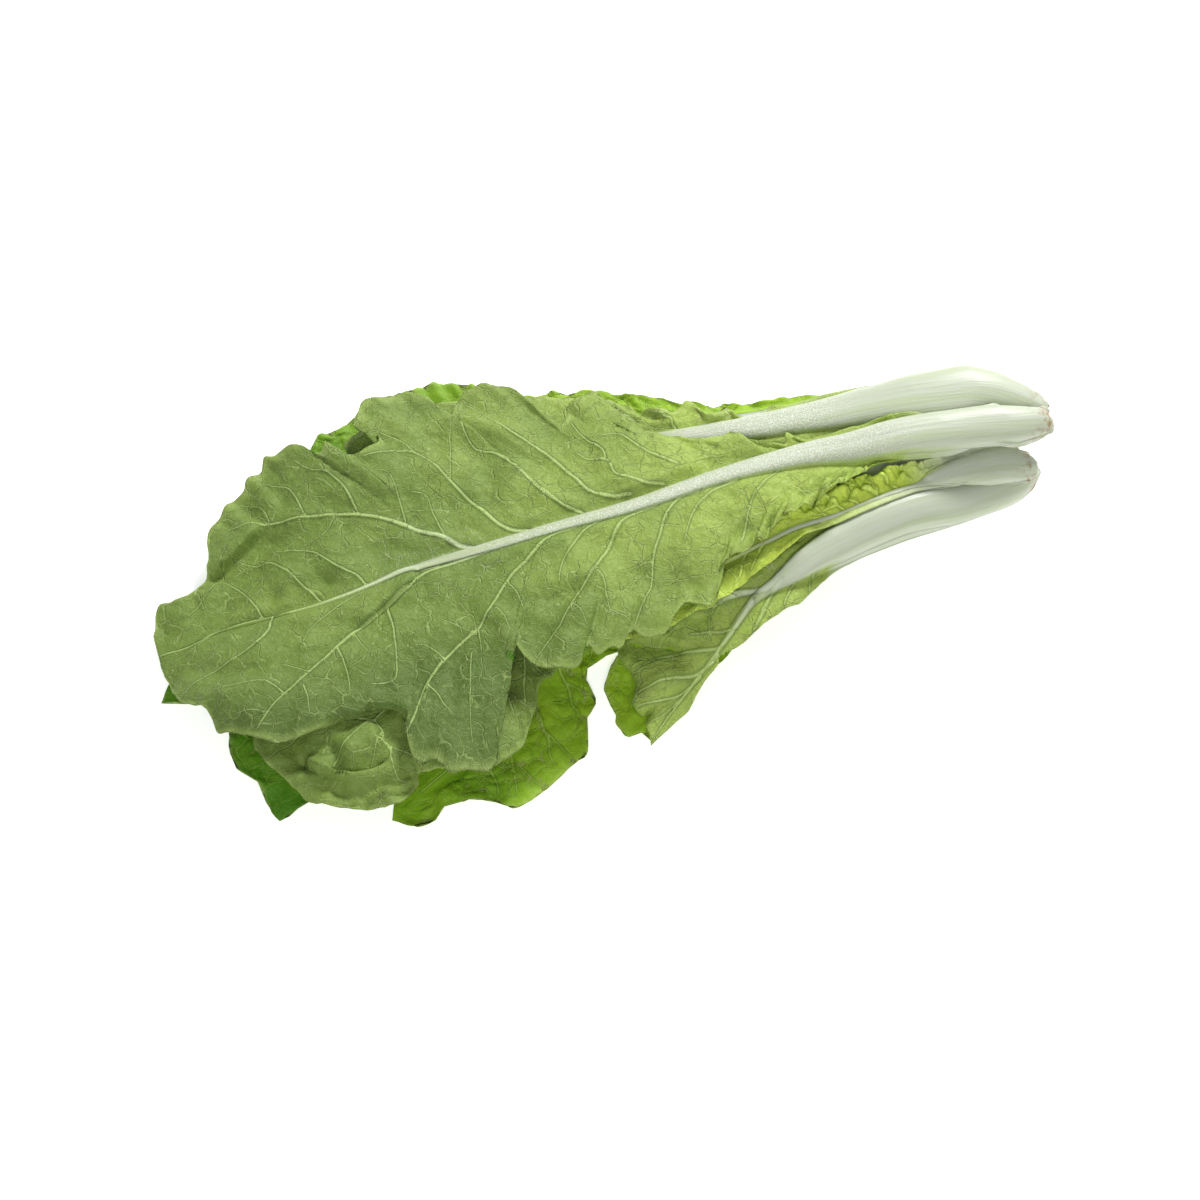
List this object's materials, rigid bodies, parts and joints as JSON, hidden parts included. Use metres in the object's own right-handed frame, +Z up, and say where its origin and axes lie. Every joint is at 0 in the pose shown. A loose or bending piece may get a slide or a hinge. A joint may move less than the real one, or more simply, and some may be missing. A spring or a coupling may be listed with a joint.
{
  "type": "bok choy",
  "caption": "Head of leafy bok choy lying on its side, with broad white stalks and crinkled green leaves fanned out flat.",
  "frame": {"origin": "on the surface it lies on, below the middle of its bounding box", "axes": "+X along the head, out of the cut stalk end; +Y towards the back of the pile; +Z up"},
  "size_m": [0.3368, 0.182, 0.0391],
  "materials": {
    "leaf_back": "matte, pale green underside of a leaf with raised pale veins and a white stalk",
    "leaf_face": "satin, bright green upper side of a leaf with a white stalk",
    "leaf_pale": "satin, pale yellow-green young leaf",
    "stem": "moist, off-white cut stem"
  },
  "bodies": {
    "root": {"stem_core": "stem", "leaf_top": "leaf_back", "leaf_top_back": "leaf_back", "leaf_front": "leaf_back", "leaf_inner_front": "leaf_back", "leaf_folded": "leaf_back", "leaf_front_low": "leaf_face", "leaf_back_edge": "leaf_face", "leaf_under_middle": "leaf_face", "leaf_under_back": "leaf_face", "leaf_under_front": "leaf_face", "leaf_under_left": "leaf_face", "heart_leaf_long": "leaf_face", "heart_leaf_short": "leaf_pale"}
  },
  "joints": []
}
